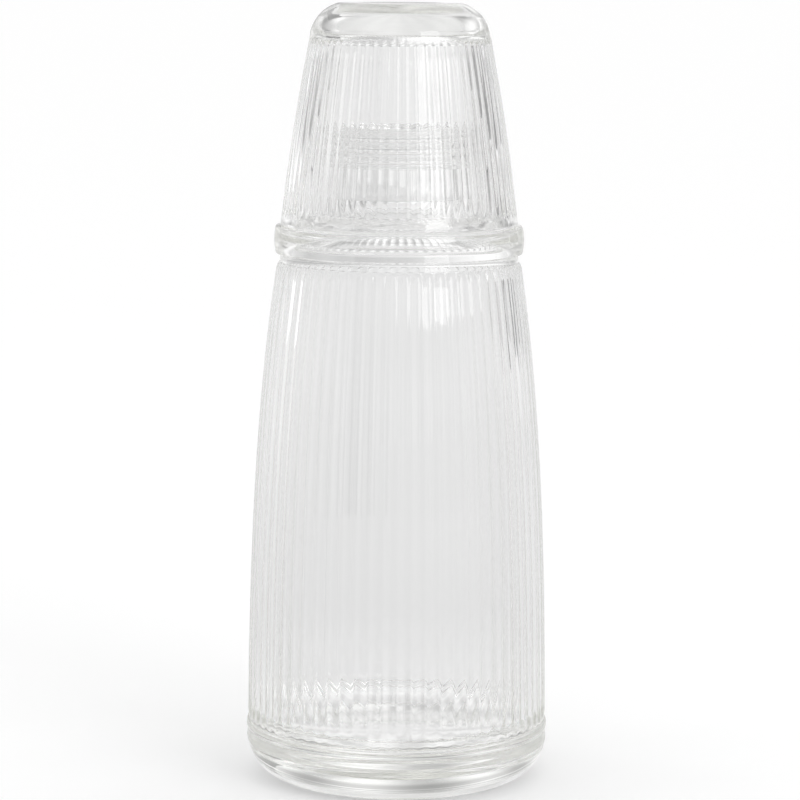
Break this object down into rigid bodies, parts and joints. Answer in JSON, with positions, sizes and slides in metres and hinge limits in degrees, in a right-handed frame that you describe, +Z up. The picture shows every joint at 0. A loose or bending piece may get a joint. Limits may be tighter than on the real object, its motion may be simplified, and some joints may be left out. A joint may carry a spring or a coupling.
{
  "type": "bedside carafe with tumbler",
  "caption": "Clear ribbed glass bedside carafe with a ringed neck; its ribbed tumbler stands upside down over the neck, on the carafe's ring, and lifts off.",
  "frame": {"origin": "centre of the carafe's foot, on the plane it stands on", "axes": "+Z up along the common axis of carafe and tumbler; X and Y are level, and -Y faces the viewer of the picture"},
  "size_m": [0.094, 0.094, 0.24],
  "materials": {
    "clear_glass": "polished pressed glass"
  },
  "bodies": {
    "carafe": {"carafe": "clear_glass"},
    "tumbler": {"tumbler": "clear_glass"}
  },
  "joints": [
    {"name": "tumbler_lift", "type": "slide", "parent": "carafe", "child": "tumbler", "axis": [0, 0, 1], "range_m": [0, 0.1]}
  ]
}
